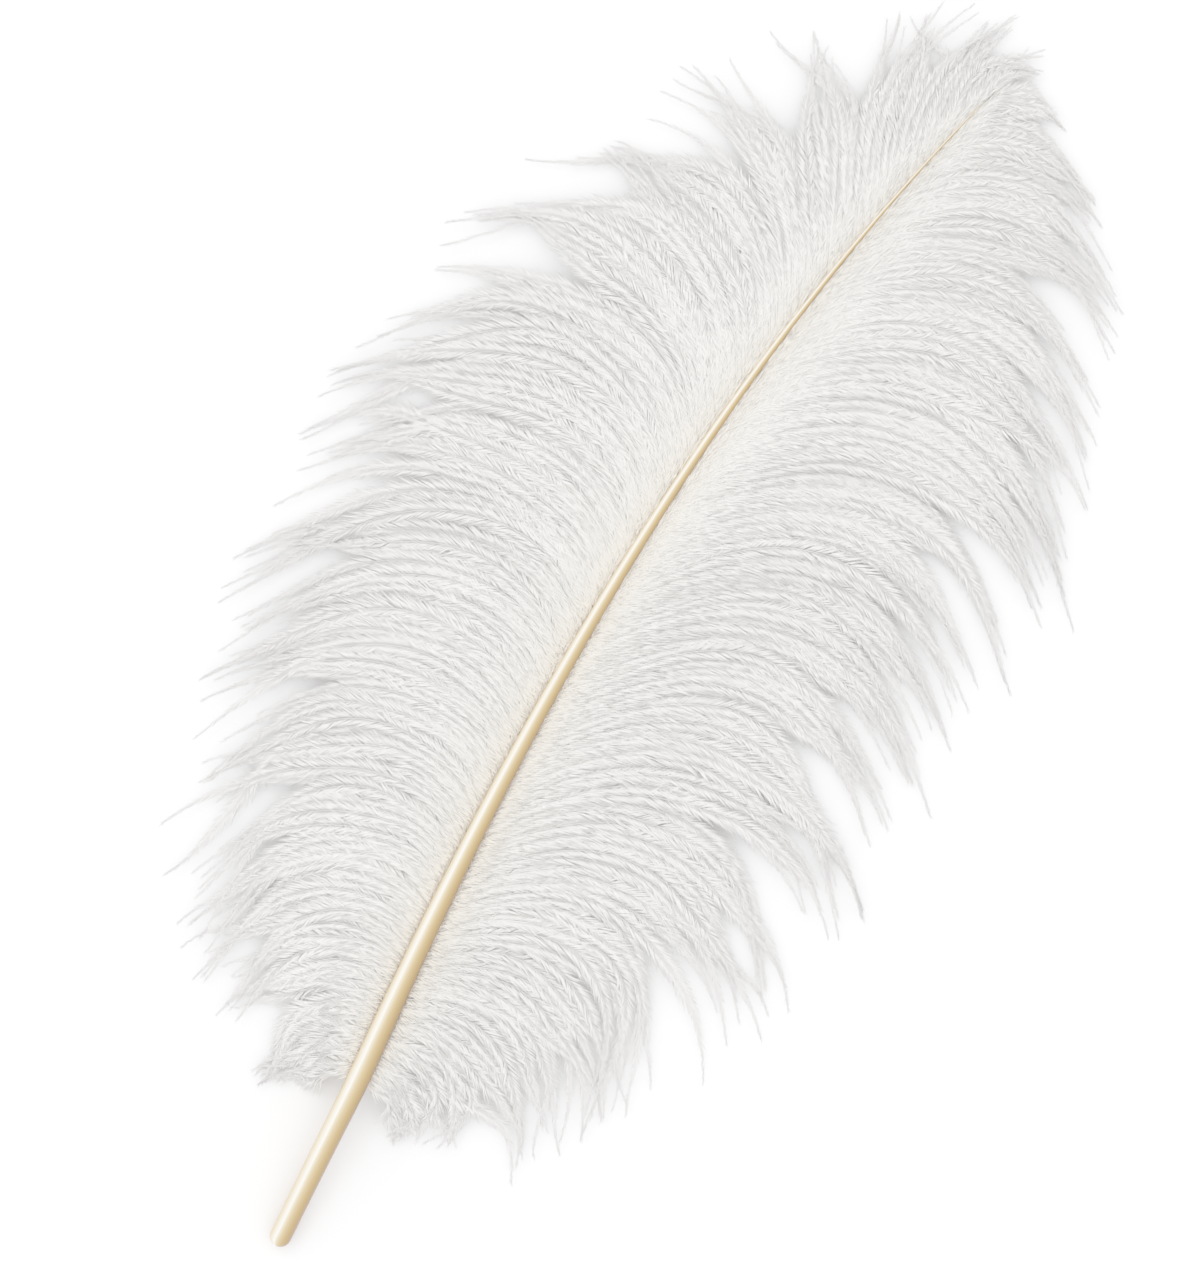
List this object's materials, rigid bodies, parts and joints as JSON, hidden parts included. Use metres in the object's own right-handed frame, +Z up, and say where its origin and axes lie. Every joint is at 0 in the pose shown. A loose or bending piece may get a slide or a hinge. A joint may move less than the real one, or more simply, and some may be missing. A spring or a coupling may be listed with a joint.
{
  "type": "ostrich feather",
  "caption": "Loose white ostrich plume with a curved, tapering ivory quill and soft drooping barbs on both sides, lying flat.",
  "frame": {"origin": "under the middle of the feather's outline, on the surface it lies on", "axes": "+Y along the feather from the quill's end to the tip, +Z up from the table through the upper face, +X towards the right vane"},
  "size_m": [0.2264, 0.4338, 0.0248],
  "materials": {
    "shaft_horn": "smooth ivory horn, paler along the upper left, satin gloss, fine lengthwise streaks",
    "white_barbs": "soft matt white down, warm cream close to the shaft, herringbone of fine barbules on every barb"
  },
  "bodies": {
    "root": {"shaft": "shaft_horn", "left_vane": "white_barbs", "right_vane": "white_barbs"}
  },
  "joints": []
}
